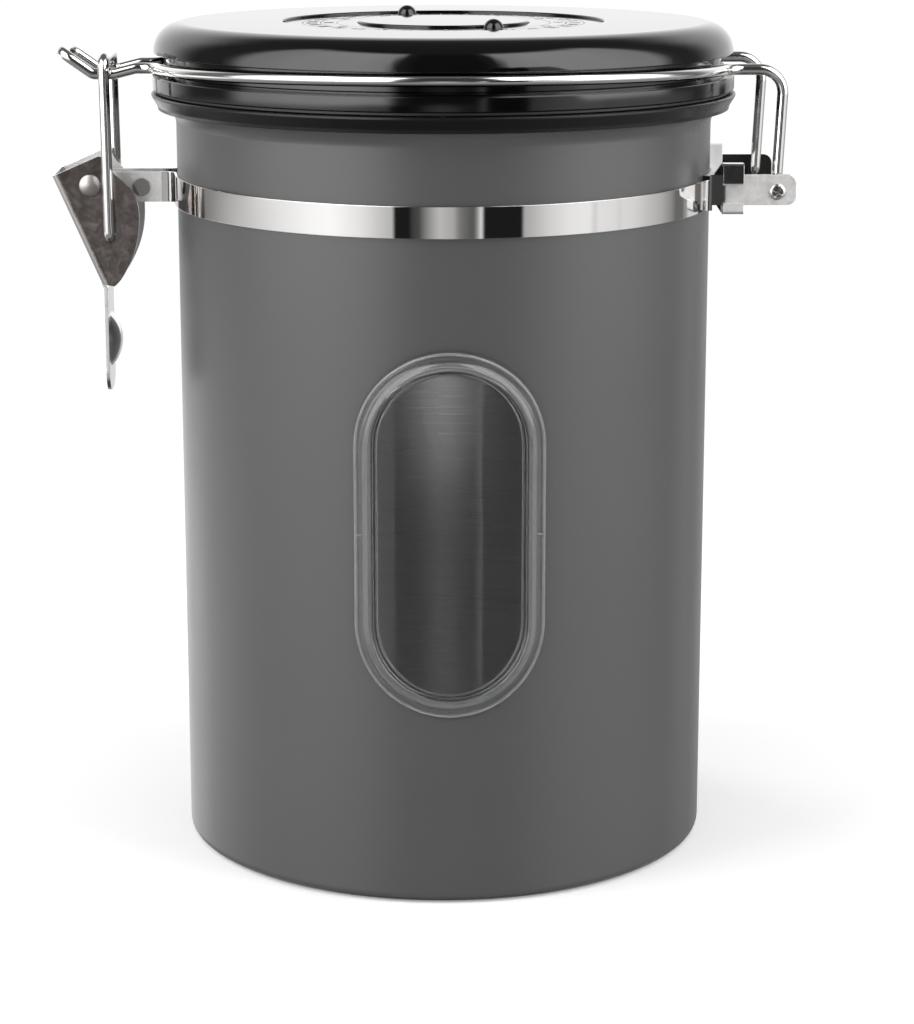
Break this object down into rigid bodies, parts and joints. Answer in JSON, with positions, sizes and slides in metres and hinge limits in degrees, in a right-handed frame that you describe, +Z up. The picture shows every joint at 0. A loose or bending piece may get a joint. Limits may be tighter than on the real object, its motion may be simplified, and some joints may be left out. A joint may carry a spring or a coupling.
{
  "type": "coffee canister with valve",
  "caption": "Round steel storage canister with an oval front window, a hinged valve lid with date dial, and a wire-bail lever latch.",
  "frame": {"origin": "centre of the flat base, on the surface the canister stands on", "axes": "+Z up along the canister's axis, -Y towards the window, -X towards the latch, +X towards the lid hinge"},
  "size_m": [0.1622, 0.1286, 0.1849],
  "materials": {
    "can_coat": "satin",
    "window_clear": "clear",
    "seal_grey": "matte",
    "seal_black": "matte",
    "collar_black": "satin",
    "band_steel": "polished",
    "rivet_steel": "polished",
    "wire_steel": "polished",
    "lever_steel": "polished",
    "lid_black": "gloss",
    "lid_gloss": "high gloss",
    "dial_gloss": "gloss",
    "slider_gloss": "gloss",
    "gasket_rubber": "matte",
    "valve_rubber": "matte",
    "filter_felt": "matte"
  },
  "bodies": {
    "canister": {"can_body": "can_coat", "window_pane": "window_clear", "window_seal": "seal_grey", "window_retainer": "seal_black", "rim_collar": "collar_black", "band_front": "band_steel", "band_rear": "band_steel", "band_rivet": "rivet_steel", "hinge_saddle": "band_steel", "lever_rivet": "rivet_steel", "lever_bushes": "rivet_steel"},
    "lid": {"lid_wire": "wire_steel", "lid_base": "lid_black", "lid_cover": "lid_gloss", "lid_gasket": "gasket_rubber", "lid_screws": "rivet_steel", "valve_cap": "lid_gloss", "valve_seat": "lid_black", "valve_cage": "lid_black", "valve_filter": "filter_felt", "day_ring": "dial_gloss", "month_ring": "dial_gloss"},
    "lever": {"latch_lever": "lever_steel"},
    "bail": {"latch_bail": "wire_steel"},
    "day_marker": {"day_slider": "slider_gloss"},
    "month_marker": {"month_slider": "slider_gloss"},
    "valve_flap": {"valve_disc": "valve_rubber"}
  },
  "joints": [
    {"name": "lid_swing", "type": "hinge", "parent": "canister", "child": "lid", "pos_m": [0.0718, 0, 0.148], "axis": [0, 1, 0], "range_deg": [0, 190]},
    {"name": "lever_swing", "type": "hinge", "parent": "canister", "child": "lever", "pos_m": [-0.0776, 0, 0.1483], "axis": [0, 1, 0], "range_deg": [0, 140]},
    {"name": "bail_swing", "type": "hinge", "parent": "lever", "child": "bail", "pos_m": [-0.0735, 0, 0.13675], "axis": [0, 1, 0], "range_deg": [-110, 0]},
    {"name": "day_turn", "type": "hinge", "parent": "lid", "child": "day_marker", "pos_m": [0, 0, 0.1827], "axis": [0, 0, 1], "continuous": true},
    {"name": "month_turn", "type": "hinge", "parent": "lid", "child": "month_marker", "pos_m": [0, 0, 0.1827], "axis": [0, 0, 1], "continuous": true},
    {"name": "valve_lift", "type": "slide", "parent": "lid", "child": "valve_flap", "axis": [0, 0, 1], "range_m": [0, 0.0008]}
  ],
  "couplings": [
    {"joint": "bail_swing", "follows": "lever_swing", "ratio": -0.76}
  ]
}
